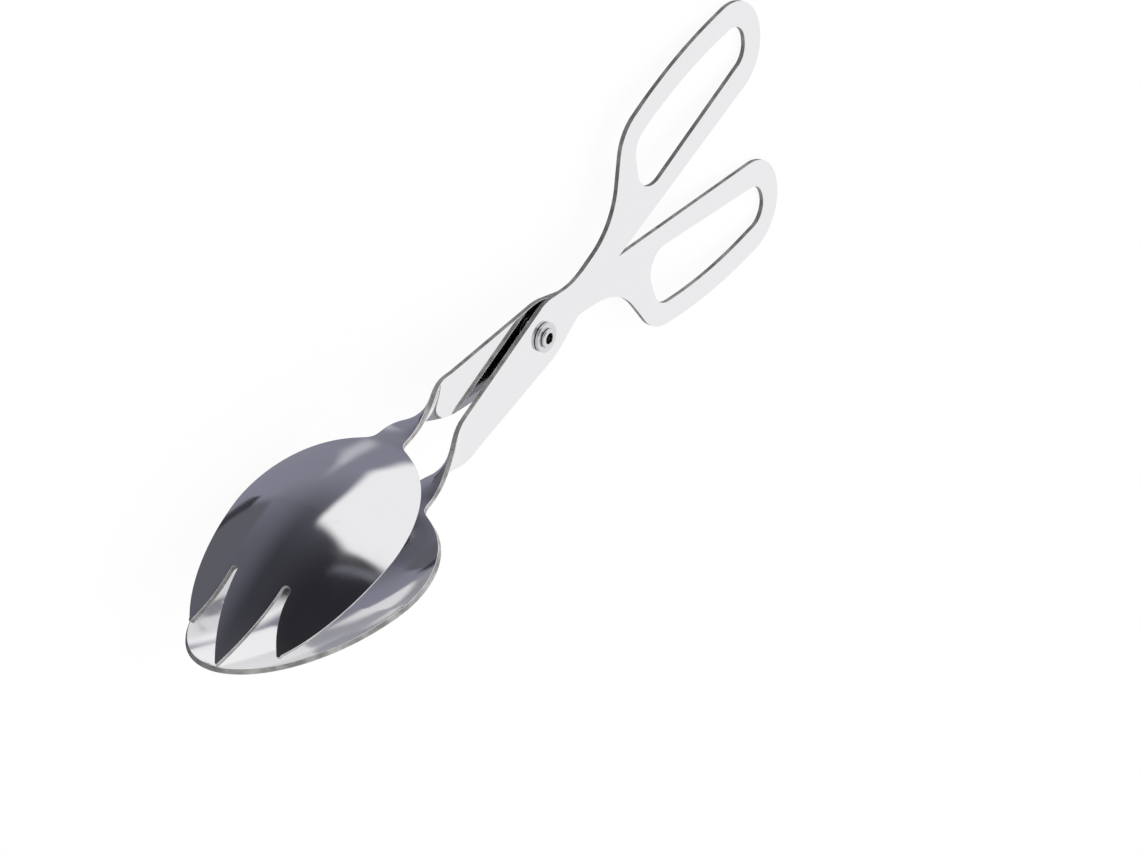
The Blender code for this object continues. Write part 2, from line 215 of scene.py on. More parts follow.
# Studio as the mirrors see it. Each pair says where a change starts and ends: bearings in
# degrees anticlockwise from +X, heights with 1 straight up, or distances along a normal.
SOFTBOX_COLOUR = (1.08, 1.075, 1.085, 1.0)
SOFTBOX_EDGE = (259.8, 256.6)
SLOPE_NORMAL = (-0.905, 0.193, -0.378)
SLOPE_SOFTNESS = (-0.034, -0.010)
SKYLINE_FAR_BEARINGS = (150.0, 200.0)
SKYLINE_FAR = (-0.32, -0.50)
SKYLINE_NEAR_BEARINGS = (200.0, 240.0)
SKYLINE_NEAR = (0.0, 0.10)
SKYLINE_SOFTNESS = (-0.055, 0.035)
SWEEP_END = (48.0, 75.0)
SIDE_WALL_START = (306.0, 328.0)
SIDE_WALL_END = (88.0, 66.0)
SIDE_WALL_FOOT = (-0.25, 0.0)
SIDE_WALL_SHARE = 0.78
CEILING = (0.50, 0.72)
DARK_WALL_FADE = (0.0, -0.5)
DARK_FLOOR_FADE = (-0.55, -0.85)
SLATE_BEARINGS = (276.0, 212.0)
SLATE_HEIGHTS = (0.15, -0.3)
GREY_END_FADE = (0.20, 0.80)
STEEP_HEIGHTS = (-0.90, -0.94)

# Patch and bar on the table, placed by how far a ray runs along X for each step that it falls
LEAST_FALL = 0.1
UNDER_EDGE = (-0.245, -0.215)
BAR_START = (-0.275, -0.262)
BAR_END = (-0.212, -0.222)
BAR_BEARINGS = (208.0, 198.0)

# Thin bright streak, and the faint rim beside the softbox's sloping edge
STREAK_FOOT = (-0.77, -0.72)
STREAK_TOP = (-0.665, -0.715)
STREAK_NEAR = (232.0, 188.0)
STREAK_FAR = (150.0, 175.0)
STREAK_SHARE = 0.35
STREAK_COLOUR = (1.1, 1.1, 1.13, 1.0)
RIM_NORMAL = (0.884, -0.069, 0.462)
RIM_WIDTH = (0.028, 0.008)
RIM_FOOT = (-0.02, 0.13)
RIM_TOP = (0.44, 0.37)

# Glow that faces see in each other, from the second mirror on
LIT_START = (231.0, 240.0)
LIT_END = (266.0, 258.0)
LIT_HEIGHTS = (-0.87, -0.81)
LIT_LEAST = 0.28
SECOND_MIRROR = (1.4, 1.6)

# Glowing card under the blades' tips that paints a bright reflection into them, from corner to corner
CARD_LOW = (0.072, -0.004)
CARD_HIGH = (0.098, 0.016)


def linear(hex_colour):
    """Turn an sRGB hex colour such as "D8D9DA" into linear red, green, blue and 1."""
    channels = [int(hex_colour[i:i + 2], 16) / 255 for i in (0, 2, 4)]
    return [c / 12.92 if c <= 0.04045 else ((c + 0.055) / 1.055) ** 2.4 for c in channels] + [1.0]


def smoothstep(value):
    """Rise from 0 to 1 as 3t squared less 2t cubed, held at both ends."""
    held = np.clip(value, 0.0, 1.0)
    return held * held * (3.0 - 2.0 * held)


# Outlines of the blank, as arrays of points (x, across)


def corner_sides(corners, index):
    """Give a corner, the unit directions to its neighbours and half the angle between them."""
    corner = np.array(corners[index][:2])
    before = np.array(corners[index - 1][:2]) - corner
    after = np.array(corners[(index + 1) % len(corners)][:2]) - corner
    before = before / np.linalg.norm(before)
    after = after / np.linalg.norm(after)
    half = math.acos(float(np.clip(before @ after, -1, 1))) / 2
    return corner, before, after, half


def rounded_outline(corners, closed=True):
    """Give a polygon's points, each corner (x, y, radius) replaced by an arc tangent to both sides."""
    points = []
    for index, (x, y, radius) in enumerate(corners):
        if radius == 0 or (not closed and index in (0, len(corners) - 1)):
            points.append(np.array([[x, y]]))
            continue
        corner, before, after, half = corner_sides(corners, index)
        bisector = (before + after) / np.linalg.norm(before + after)
        centre = corner + bisector * radius / math.sin(half)
        first = corner + before * radius / math.tan(half) - centre
        last = corner + after * radius / math.tan(half) - centre
        turn = math.atan2(first[0] * last[1] - first[1] * last[0], first @ last)
        angle = np.linspace(0.0, turn, max(3, int(abs(turn) * radius / OUTLINE_STEP)))[:, None]
        quarter = np.array([-first[1], first[0]])
        points.append(centre + first * np.cos(angle) + quarter * np.sin(angle))
    return np.concatenate(points)


def respaced(points, step, closed=True):
    """Give points along the same line at an even spacing close to step."""
    line = np.concatenate([points, points[:1]]) if closed else points
    lengths = np.linalg.norm(np.diff(line, axis=0), axis=1)
    line = line[np.concatenate([[True], lengths > SAME_POINT])]
    travelled = np.concatenate([[0.0], np.cumsum(np.linalg.norm(np.diff(line, axis=0), axis=1))])
    count = max(3, round(travelled[-1] / step))
    places = np.linspace(0.0, travelled[-1], count + 1)
    even = np.stack([np.interp(places, travelled, line[:, i]) for i in (0, 1)], axis=1)
    return even[:-1] if closed else even


def blade_half_width(x):
    """Give half the blade's width: a quarter ellipse each way from the widest place.

    The ellipse at the neck starts softly, along a hyperbola, which rounds the shoulders.
    """
    towards_tip = np.clip((x - BLADE_WIDEST) / (BLADE_END - BLADE_WIDEST), 0.0, 1.0)
    past_base = x - BLADE_START
    softened = BLADE_START + (past_base + np.sqrt(past_base ** 2 + SHOULDER_SOFTNESS ** 2)) / 2
    towards_neck = np.clip((BLADE_WIDEST - softened) / (BLADE_WIDEST - BLADE_START), 0.0, 1.0)
    pointing = 1.0 - tip_point_share * towards_tip * (2.0 - towards_tip)
    round_tip = np.sqrt(1.0 - towards_tip ** 2) * pointing
    round_base = np.sqrt(1.0 - towards_neck ** 2)
    return BLADE_WIDTH / 2 * np.where(x >= BLADE_WIDEST, round_tip, round_base)


def strip_half_width(x):
    """Give half the strip's width: lever narrowing to neck, then the blade, with filleted corners."""
    narrowing = smoothstep((x - LEVER_LENGTH) / (NARROW_END - LEVER_LENGTH))
    neck = LEVER_WIDTH / 2 + (NECK_WIDTH / 2 - LEVER_WIDTH / 2) * narrowing
    blade = blade_half_width(x)
    filleted = (neck ** CORNER_POWER + blade ** CORNER_POWER) ** (1 / CORNER_POWER)
    return np.where(x < BLADE_WIDEST, filleted, blade)


def rim_places(last):
    """Give places along X from the lever to last, close together where the outline turns fast."""
    angle = np.linspace(0.0, math.pi / 2, ARC_STEPS)
    neck = np.linspace(LEVER_LENGTH, BLADE_START, 2 * ARC_STEPS)
    base = BLADE_WIDEST - (BLADE_WIDEST - BLADE_START) * np.cos(angle[1:])
    tip = BLADE_WIDEST + (BLADE_END - BLADE_WIDEST) * np.sin(angle[1:])
    places = np.concatenate([neck, base, tip])
    return np.concatenate([places[places < last], [last]])


def slot_edge(tip, side, bow_share):
    """Give one edge of a slot from its end to a tine's tip, a straight run bowed into the slot."""
    end = np.array(slot_end_share) * (BLADE_LENGTH, BLADE_WIDTH / 2) + (BLADE_START, 0.0)
    tip = np.array(tip) * (BLADE_LENGTH, BLADE_WIDTH / 2) + (BLADE_START, 0.0)
    run = tip - end
    length = np.linalg.norm(run)
    square = np.array([-run[1], run[0]]) / length * side
    share = np.linspace(0.0, 1.0, ARC_STEPS)[:, None]
    bow = -4 * share * (1 - share) * bow_share * length
    return end, end + run * share + square * (SLOT_END_RADIUS * (1 - share) + bow)


def rounded_tip(before, after):
    """Join two lines that meet at a tine's tip by an arc, trimming both back to touch it."""
    arriving = before[-4] - before[-1]
    leaving = after[3] - after[0]
    arriving = arriving / np.linalg.norm(arriving)
    leaving = leaving / np.linalg.norm(leaving)
    half = math.acos(float(np.clip(arriving @ leaving, -1, 1))) / 2
    trim = TINE_TIP_RADIUS / math.tan(half)
    tip = before[-1]
    kept_before = before[np.linalg.norm(before - tip, axis=1) > trim]
    kept_after = after[np.linalg.norm(after - tip, axis=1) > trim]
    bisector = (arriving + leaving) / np.linalg.norm(arriving + leaving)
    centre = tip + bisector * TINE_TIP_RADIUS / math.sin(half)
    first = kept_before[-1] - centre
    last = kept_after[0] - centre
    turn = math.atan2(first[0] * last[1] - first[1] * last[0], first @ last)
    # The arc runs round the tip's side of its centre, the long way if both ends stand behind it
    if first @ bisector + last @ bisector > 0:
        turn = turn - math.copysign(math.tau, turn)
    angle = np.linspace(0.0, turn, TINE_TIP_STEPS)[1:-1, None]
    reach = np.linalg.norm(first) + (np.linalg.norm(last) - np.linalg.norm(first)) * angle / turn
    first = first / np.linalg.norm(first)
    quarter = np.array([-first[1], first[0]])
    arc = centre + reach * (first * np.cos(angle) + quarter * np.sin(angle))
    return np.concatenate([kept_before, arc, kept_after])


def plain_blade_edge():
    """Give the spoon blank's edge from the lever's one front corner round the tip to the other."""
    x = rim_places(BLADE_END)
    near = np.stack([x, strip_half_width(x)], axis=1)
    far = near[::-1][1:] * (1, -1)
    return np.concatenate([near, far])


def tined_blade_edge():
    """Give the fork blank's edge: rim, slot, middle tine, and the same mirrored."""
    middle = np.array(middle_tine_tip_share) * (BLADE_LENGTH, BLADE_WIDTH / 2) + (BLADE_START, 0.0)
    x = rim_places(BLADE_START + side_tine_tip_share * BLADE_LENGTH)
    rim = np.stack([x, strip_half_width(x)], axis=1)
    rim_share = (rim[-1] - (BLADE_START, 0.0)) / (BLADE_LENGTH, BLADE_WIDTH / 2)
    end, outer = slot_edge(rim_share, 1, side_tine_bow_share)
    end, inner = slot_edge(middle_tine_tip_share, -1, middle_tine_bow_share)
    first = outer[0] - end
    last = inner[0] - end
    sweep = (math.atan2(last[1], last[0]) - math.atan2(first[1], first[0])) % math.tau
    angle = np.linspace(0.0, sweep, SLOT_END_STEPS)[1:-1, None]
    cap = end + first * np.cos(angle) + np.array([-first[1], first[0]]) * np.sin(angle)
    tine = rounded_tip(rim, outer[::-1])
    half = np.concatenate([tine, cap, inner])
    # The middle tine's point stands ahead of its edges' ends by as much as they stand aside
    tip = np.array([[middle[0] + middle[1], 0.0]])
    return np.concatenate([half, tip, half[::-1] * (1, -1)])


def handle_corners(shares):
    """Give corners (x, y, radius) in millimetres from their shares of the handle's length and spread."""
    return [(x * HANDLE_LENGTH, y * HANDLE_SPREAD, radius * HANDLE_SPREAD) for x, y, radius in shares]


def blank_outline(blade_edge):
    """Join the blade's edge to the flat lever and loop and space the points evenly."""
    high = (LEVER_LENGTH, LEVER_OFFSET + LEVER_WIDTH / 2, 0)
    low = (LEVER_LENGTH, LEVER_OFFSET - LEVER_WIDTH / 2, 0)
    corners = [high] + handle_corners(blank_corner_shares) + [low]
    flat = rounded_outline(corners, closed=False) - (0.0, LEVER_OFFSET)
    outline = np.concatenate([blade_edge * (1, -1), flat[1:-1]])
    return respaced(outline, OUTLINE_STEP)


def hole_outlines():
    """Give the finger hole and the pivot hole."""
    finger = respaced(rounded_outline(handle_corners(finger_hole_corner_shares)), OUTLINE_STEP)
    angle = np.linspace(0.0, math.tau, PIVOT_HOLE_STEPS + 1)[:-1]
    pivot = PIVOT_HOLE_DIAMETER / 2 * np.stack([np.cos(angle), np.sin(angle)], axis=1)
    return [finger - (0.0, LEVER_OFFSET), pivot - (0.0, LEVER_OFFSET)]


def signed_area(points):
    """Give a closed outline's area, positive when it runs anticlockwise."""
    following = np.roll(points, -1, axis=0)
    return 0.5 * float(np.sum(points[:, 0] * following[:, 1] - following[:, 0] * points[:, 1]))


def inside(points, outline):
    """Tell which points lie inside a closed outline, by counting its crossings to the right."""
    ahead = np.roll(outline, -1, axis=0)
    x, y = points[:, 0:1], points[:, 1:2]
    spans = (outline[:, 1] > y) != (ahead[:, 1] > y)
    rise = np.where(ahead[:, 1] == outline[:, 1], 1.0, ahead[:, 1] - outline[:, 1])
    crossing = outline[:, 0] + (y - outline[:, 1]) / rise * (ahead[:, 0] - outline[:, 0])
    return (np.sum(spans & (x < crossing), axis=1) % 2) == 1


# The bent sheet


def dish(x):
    """Give the cross-section's curvature.

    It is nothing on the lever and rises smoothly to the depth over half the width squared.
    """
    share = (x - BLADE_START) / BLADE_LENGTH
    deepening = smoothstep((share - dish_start_share) / (dish_full_share - dish_start_share))
    return BLADE_DEPTH / (BLADE_WIDTH / 2) ** 2 * deepening


def rim_line(x):
    """Give how far out the rim stands: it falls from neck to tip along a parabola."""
    share = (x - BLADE_START) / BLADE_LENGTH
    fall = (1.0 - rim_bow_share) * share + rim_bow_share * share ** 2
    return RIM_OFFSET + (TIP_CLEARANCE + SHEET / 2 - RIM_OFFSET) * fall


def blade_spine(x):
    """Give how far out the dish's bottom stands: the rim plus the curvature times half width squared."""
    return rim_line(x) + dish(x) * strip_half_width(x) ** 2


def spine(x):
    """Give the strip's middle line: a cubic from the lever to the blade, and its slow fall in height."""
    span = BLADE_START - LEVER_LENGTH
    share = np.clip((x - LEVER_LENGTH) / span, 0.0, 1.0)
    joining = (blade_spine(BLADE_START + TINY_STEP) - blade_spine(BLADE_START)) / TINY_STEP
    turned_share = smoothstep(share)
    neck = LEVER_OFFSET * (1.0 - turned_share) + blade_spine(BLADE_START) * turned_share
    neck = neck + span * NECK_LEAVING_SLOPE * share * (1.0 - share) ** 2
    neck = neck - span * joining * share ** 2 * (1.0 - share)
    out = np.where(x < BLADE_START, neck, blade_spine(np.minimum(x, BLADE_END)))
    out = np.where(x < LEVER_LENGTH, LEVER_OFFSET, out)
    share = np.maximum((x - LEVER_LENGTH) / (BLADE_END - LEVER_LENGTH), 0.0)
    high = ARM_MIDDLE - (ARM_MIDDLE + TIP_DRIFT) * share ** 2 * (3.0 - share) / 2
    return out, high


def bent(points):
    """Bend blank points (x, across) into space.

    The strip turns about its middle line by a smooth quarter turn and sinks from it by
    curvature times distance squared.
    """
    x, across = points[..., 0], points[..., 1]
    out, high = spine(x)
    turn = math.pi / 2 * smoothstep((x - TWIST_START) / (TWIST_END - TWIST_START))
    inward = dish(x) * across ** 2
    y = out + np.cos(turn) * across - np.sin(turn) * inward
    z = high - np.sin(turn) * across - np.cos(turn) * inward
    return np.stack([x, y, z], axis=-1)


def sheet_normals(points):
    """Give the bent sheet's upward normals, the cross product of its two slopes."""
    step = np.array([TINY_STEP, 0.0])
    along = bent(points + step) - bent(points - step)
    step = np.array([0.0, TINY_STEP])
    across = bent(points + step) - bent(points - step)
    normals = np.cross(along, across)
    return normals / np.linalg.norm(normals, axis=-1, keepdims=True)


def grid_points(outline):
    """Give points inside the neck and blade, in rows, none close to the edge."""
    x = np.arange(LEVER_LENGTH + GRID_STEP, BLADE_END, GRID_STEP)
    across = np.arange(-BLADE_WIDTH / 2, BLADE_WIDTH / 2, GRID_STEP)
    grid = np.stack(np.meshgrid(x, across, indexing="ij"), axis=-1).reshape(-1, 2)
    grid = grid[inside(grid, outline)]
    edge = outline[outline[:, 0] > LEVER_LENGTH - 2 * GRID_STEP]
    nearest = np.full(len(grid), np.inf)
    for part in np.array_split(edge, BATCHES):
        apart = grid[:, None] - part[None]
        nearest = np.minimum(nearest, np.sqrt((apart ** 2).sum(axis=-1)).min(axis=1))
    return grid[nearest > EDGE_CLEARANCE_SHARE * GRID_STEP]


def triangulated(loops):
    """Fill the space between an outline and its holes, and give all points and triangles."""
    inner = grid_points(loops[0])
    # Rounded as Blender's vectors are, so that thin triangles turn and lie the same way for both
    points = np.concatenate(loops + [inner]).astype(np.float32).astype(float)
    starts = np.cumsum([0] + [len(loop) for loop in loops])
    outline, *holes = [points[start:start + len(loop)] for start, loop in zip(starts, loops)]
    edges = []
    for start, loop in zip(starts, loops):
        count = len(loop)
        edges += [(int(start + i), int(start + (i + 1) % count)) for i in range(count)]
    found = delaunay_2d_cdt([Vector(p) for p in points], edges, [], 0, TRIANGLE_TOLERANCE)
    source = np.array([origin[0] for origin in found[3]])
    triangles = source[np.array(found[2])]
    middles = points[triangles].mean(axis=1)
    batches = np.array_split(middles, BATCHES)
    kept = np.concatenate([inside(batch, outline) for batch in batches])
    for hole in holes:
        kept &= ~np.concatenate([inside(batch, hole) for batch in batches])
    return points, triangles[kept]


def placed_basis():
    """Give the matrix from the rivet's own axes to the resting tongs, by the hinge's axis and place."""
    joint = frame["record"]["behaviour"]["joints"][0]
    upward = -Vector(joint["axis"]).normalized()
    along = Vector((upward.z, 0.0, -upward.x)).normalized()
    sideways = upward.cross(along)
    matrix = Matrix((along, sideways, upward)).transposed().to_4x4()
    matrix.translation = Vector(joint["pos_m"])
    return np.array(matrix)


def to_row(points, turned_over=False):
    """Carry points in millimetres about the rivet to the row frame in metres."""
    basis = placed_basis()
    flip = np.array([1, -1, -1]) if turned_over else np.array([1, 1, 1])
    return (points * flip * MM) @ basis[:3, :3].T + basis[:3, 3]


def turned_normals(normals, turned_over=False):
    """Turn normals as to_row turns points."""
    flip = np.array([1, -1, -1]) if turned_over else np.array([1, 1, 1])
    return (normals * flip) @ placed_basis()[:3, :3].T


def sheet_solid(loops, turned_over, lip):
    """Give the vertices, normals, faces and finishes of a bent sheet with lips of that radius.

    The faces stand half the thickness off the middle surface. Along each outline the
    profile is a quarter circle, a straight cut and another quarter circle.
    """
    loops = [loop if (signed_area(loop) > 0) == (i == 0) else loop[::-1] for i, loop in enumerate(loops)]
    points, triangles = triangulated(loops)
    a, b, c = (points[triangles[:, i]] for i in range(3))
    clockwise = (b[:, 0] - a[:, 0]) * (c[:, 1] - a[:, 1]) < (b[:, 1] - a[:, 1]) * (c[:, 0] - a[:, 0])
    triangles[clockwise] = triangles[clockwise][:, ::-1]
    middle = bent(points)
    normals = sheet_normals(points)
    half = SHEET / 2
    outward = np.zeros_like(middle)
    start = 0
    for loop in loops:
        rows = slice(start, start + len(loop))
        tangent = np.roll(middle[rows], -1, axis=0) - np.roll(middle[rows], 1, axis=0)
        away = np.cross(tangent, normals[rows])
        outward[rows] = away / np.linalg.norm(away, axis=1, keepdims=True)
        start += len(loop)
    edge_count = start
    inset = middle - lip * outward
    vertices = [inset + half * normals, inset - half * normals]
    directions = [normals, -normals]
    total = len(points)
    angle = np.linspace(0.0, math.pi / 2, LIP_STEPS + 1)[1:]
    offsets = [(math.sin(t), math.cos(t), 1) for t in angle]
    offsets += [(out, up, -sign) for out, up, sign in offsets[::-1]]
    edge, edge_normals, edge_out = inset[:edge_count], normals[:edge_count], outward[:edge_count]
    for out, up, sign in offsets:
        lift = sign * (half - lip + lip * up)
        vertices.append(edge + lip * out * edge_out + lift * edge_normals)
        directions.append(out * edge_out + sign * up * edge_normals)
    ring_starts = [0] + [2 * total + i * edge_count for i in range(len(offsets))] + [total]
    loop_starts = np.cumsum([0] + [len(loop) for loop in loops[:-1]])
    following = np.concatenate([
        np.roll(np.arange(len(loop)), -1) + start for loop, start in zip(loops, loop_starts)])
    here = np.arange(edge_count)
    quads = []
    finishes = []
    for k, (upper, lower) in enumerate(zip(ring_starts, ring_starts[1:])):
        quads.append(np.stack([upper + here, lower + here, lower + following, upper + following], axis=1))
        finishes.append(np.full(edge_count, int(k == LIP_STEPS)))
    faces = triangles.tolist() + (triangles[:, ::-1] + total).tolist()
    faces += np.concatenate(quads).tolist()
    finish = np.concatenate([np.zeros(2 * len(triangles), int)] + finishes)
    vertices = to_row(np.concatenate(vertices), turned_over)
    return vertices, turned_normals(np.concatenate(directions), turned_over), faces, finish


def new_mesh_object(name, vertices, faces, materials):
    """Make a mesh object from arrays, at the origin."""
    mesh = bpy.data.meshes.new(name)
    mesh.from_pydata(vertices.tolist(), [], faces)
    for material in materials:
        mesh.materials.append(material)
    thing = bpy.data.objects.new(name, mesh)
    bpy.context.scene.collection.objects.link(thing)
    return thing


def arm_object(name, blade_edge, turned_over, materials):
    """Make one arm from its blank."""
    loops = [blank_outline(blade_edge)] + hole_outlines()
    lip = bpy.context.scene.tongs_settings.lip_radius / MM
    vertices, normals, faces, finish = sheet_solid(loops, turned_over, lip)
    thing = new_mesh_object(name, vertices, faces, materials)
    thing.data.polygons.foreach_set("material_index", finish.astype(np.int32))
    thing.data.shade_smooth()
    lengths = np.linalg.norm(normals, axis=1, keepdims=True)
    thing.data.normals_split_custom_set_from_vertices((normals / lengths).tolist())
    thing.data.update()
    return thing


def arc_profile(corners, segment):
    """Replace each corner (radius, height, fillet) of an open profile by an arc of a few segments."""
    points = []
    for index, (radius, height, fillet) in enumerate(corners):
        if fillet == 0:
            points.append(np.array([[radius, height]]))
            continue
        corner, before, after, half = corner_sides(corners, index)
        start = corner + before * fillet / math.tan(half)
        stop = corner + after * fillet / math.tan(half)
        share = np.linspace(0.0, 1.0, segment)[:, None]
        points.append((1 - share) ** 2 * start + 2 * share * (1 - share) * corner + share ** 2 * stop)
    return np.concatenate(points)


def lathe(profile, closed):
    """Turn a profile (radius, height) about the rivet's axis.

    x is the radius times the cosine, and y the radius times the sine.
    """
    angle = np.linspace(0.0, math.tau, TURN_STEPS, endpoint=False)
    rings = np.stack([
        profile[:, 0:1] * np.cos(angle),
        profile[:, 0:1] * np.sin(angle),
        np.broadcast_to(profile[:, 1:2], (len(profile), TURN_STEPS)),
    ], axis=-1)
    vertices = rings.reshape(-1, 3)
    count = len(profile)
    last = count if closed else count - 1
    row, column = np.meshgrid(np.arange(last), np.arange(TURN_STEPS), indexing="ij")
    below = (row + 1) % count
    beside = (column + 1) % TURN_STEPS
    quads = np.stack([
        row * TURN_STEPS + column,
        below * TURN_STEPS + column,
        below * TURN_STEPS + beside,
        row * TURN_STEPS + beside,
    ], axis=-1).reshape(-1, 4)
    return vertices, quads.tolist()


def lathe_object(name, profile, closed, materials):
    """Make a turned piece, its poles closed to one point each."""
    vertices, faces = lathe(profile, closed)
    thing = new_mesh_object(name, to_row(vertices), faces, materials)
    if not closed:
        mesh = bmesh.new()
        mesh.from_mesh(thing.data)
        bmesh.ops.remove_doubles(mesh, verts=mesh.verts, dist=MM * MERGE_DISTANCE)
        bmesh.ops.recalc_face_normals(mesh, faces=mesh.faces)
        mesh.to_mesh(thing.data)
        mesh.free()
    thing.data.shade_smooth()
    thing.data.set_sharp_from_angle(angle=SHARP_ANGLE)
    return thing


def washer_profile(bottom, thickness, diameter):
    """Give a washer's closed profile with rounded outer edges, down the outer side first."""
    inner, outer, top = PIVOT_HOLE_DIAMETER / 2, diameter / 2, bottom + thickness
    fillet = WASHER_EDGE_RADIUS
    corners = [(inner, top, 0), (outer, top, fillet), (outer, bottom, fillet), (inner, bottom, 0)]
    return arc_profile(corners, WASHER_FILLET_STEPS)


def rivet_profile():
    """Give the rivet's open profile: the bore, the rolled end, the shank and the domed head."""
    shank, roll, bore = SHANK_DIAMETER / 2, ROLL_DIAMETER / 2, BORE_DIAMETER / 2
    roll_seat = ARM_FACE + SEAT_GAP + TAIL_WASHER_THICKNESS + SEAT_GAP
    roll_middle = roll_seat + ROLL_HEIGHT / 2
    head_seat = -ARM_FACE - SEAT_GAP - 2 * (HEAD_WASHER_THICKNESS + SEAT_GAP)
    head_top = head_seat - HEAD_HEIGHT
    crest = (roll + bore) / 2
    angle = np.linspace(math.pi, 0.0, ROLL_STEPS)
    reach = np.where(np.cos(angle) < 0, crest - bore, roll - crest)
    over_height = roll_middle + ROLL_HEIGHT / 2 * np.sin(angle)
    over = np.stack([crest + reach * np.cos(angle), over_height], axis=1)
    flat, rim = HEAD_FLAT_DIAMETER / 2, head_seat - HEAD_RIM_HEIGHT
    angle = np.linspace(0.0, math.pi / 2, DOME_STEPS)
    round_x = flat + (HEAD_DIAMETER / 2 - flat) * np.cos(angle)
    dome = np.stack([round_x, rim - (rim - head_top) * np.sin(angle)], axis=1)
    share = np.linspace(1.0, 0.0, DIMPLE_STEPS)[1:]
    dimple = np.stack([flat * share, head_top + HEAD_DIMPLE * (1 - share ** 2) ** 2], axis=1)
    start = np.array([(0.0, -ARM_FACE - BORE_TIP_HEIGHT), (bore, -ARM_FACE)])
    seat = arc_profile([
        (roll, roll_seat + ROLL_HEIGHT / 4, 0),
        (roll - WASHER_EDGE_RADIUS, roll_seat, 0),
        (shank, roll_seat, 0),
        (shank, head_seat, 0),
        (HEAD_DIAMETER / 2 - WASHER_EDGE_RADIUS, head_seat, 0),
        (HEAD_DIAMETER / 2, head_seat - WASHER_EDGE_RADIUS, 0),
    ], 2)
    return np.concatenate([start, over, seat[1:], dome, dimple])


# Finishes


def add_node(tree, kind, place, inputs=None, **settings):
    """Add a shader node, set its fixed inputs and settings, and return it."""
    node = tree.nodes.new(kind)
    node.location = place
    for key, value in settings.items():
        setattr(node, key, value)
    for key, value in (inputs or {}).items():
        node.inputs[key].default_value = value
    return node


def new_metal(name, colour, roughness):
    """Make a metal with a plain Principled shader and return it with its tree and shader."""
    material = bpy.data.materials.new(name)
    material.use_nodes = True
    tree = material.node_tree
    shader = tree.nodes["Principled BSDF"]
    shader.inputs["Base Color"].default_value = colour
    shader.inputs["Metallic"].default_value = 1.0
    shader.inputs["Roughness"].default_value = roughness
    return material, tree, shader


def noise(tree, place, size, detail):
    """Add a noise with marks of that size in millimetres, and return its value's socket."""
    coordinates = add_node(tree, "ShaderNodeTexCoord", (place[0] - 300, place[1]))
    texture = add_node(tree, "ShaderNodeTexNoise", place, {"Scale": 1 / (size * MM), "Detail": detail})
    tree.links.new(coordinates.outputs["Object"], texture.inputs["Vector"])
    return texture.outputs["Fac"]


def bump(tree, place, height, strength, depth, **settings):
    """Add and return a bump of that depth in millimetres."""
    inputs = {"Strength": strength, "Distance": depth * MM}
    node = add_node(tree, "ShaderNodeBump", place, inputs, **settings)
    tree.links.new(height, node.inputs["Height"])
    return node


def map_range(tree, place, value, limits):
    """Map a value from the first two limits to the last two, and return the result's socket."""
    names = ("From Min", "From Max", "To Min", "To Max")
    node = add_node(tree, "ShaderNodeMapRange", place, dict(zip(names, limits)))
    tree.links.new(value, node.inputs["Value"])
    return node.outputs["Result"]


def polished_sheet(colour, roughness):
    """Mirror-polished stainless sheet."""
    # Buffed stainless: a clear mirror with faint haze patches, hairline scratches and a slow waviness
    material, tree, shader = new_metal("polished_stainless_sheet", colour, roughness)
    coordinates = add_node(tree, "ShaderNodeTexCoord", (-1200, -150))
    stretched = add_node(tree, "ShaderNodeMapping", (-1000, -150), {
        "Scale": (1 / (SCRATCH_LENGTH * MM), 1 / (SCRATCH_WIDTH * MM), 1 / (SCRATCH_WIDTH * MM)),
        "Rotation": SCRATCH_TURN})
    tree.links.new(coordinates.outputs["Object"], stretched.inputs["Vector"])
    hairlines = add_node(tree, "ShaderNodeTexNoise", (-800, -150), {"Scale": 1.0, "Detail": 2.0})
    tree.links.new(stretched.outputs["Vector"], hairlines.inputs["Vector"])
    scratch = map_range(tree, (-600, -150), hairlines.outputs["Fac"], (*SCRATCH_LEVELS, 0.0, 1.0))
    haze = noise(tree, (-900, 200), HAZE_SIZE, 4.0)
    limits = (*HAZE_LEVELS, roughness, roughness + HAZE_ROUGHNESS)
    hazed = map_range(tree, (-600, 200), haze, limits)
    rough = add_node(tree, "ShaderNodeMath", (-350, 150), {1: SCRATCH_ROUGHNESS}, operation="MULTIPLY_ADD")
    tree.links.new(scratch, rough.inputs[0])
    tree.links.new(hazed, rough.inputs[2])
    tree.links.new(rough.outputs["Value"], shader.inputs["Roughness"])
    wavy = bump(tree, (-350, -400), noise(tree, (-800, -450), WAVE_SIZE, 1.0), 0.12, WAVE_DEPTH)
    scored = bump(tree, (-150, -250), scratch, 0.08, SCRATCH_DEPTH, invert=True)
    tree.links.new(wavy.outputs["Normal"], scored.inputs["Normal"])
    tree.links.new(scored.outputs["Normal"], shader.inputs["Normal"])
    return material


def cut_edge(colour, roughness):
    """Blanked and tumbled edge of stainless sheet."""
    # Tumbled cut: dull grey with a fine grain and short darker tears
    material, tree, shader = new_metal("tumbled_cut_edge", colour, roughness)
    shade = add_node(tree, "ShaderNodeValToRGB", (-450, 250))
    dark, light = shade.color_ramp.elements
    dark.position, light.position = TEAR_LEVELS
    dark.color = linear("A3A2A0")
    light.color = colour
    tree.links.new(noise(tree, (-750, 250), TEAR_SIZE, 3.0), shade.inputs["Fac"])
    tree.links.new(shade.outputs["Color"], shader.inputs["Base Color"])
    grain = noise(tree, (-750, 0), EDGE_GRAIN_SIZE, 3.0)
    grained = bump(tree, (-300, -150), grain, 0.3, EDGE_GRAIN_DEPTH)
    tree.links.new(grained.outputs["Normal"], shader.inputs["Normal"])
    return material


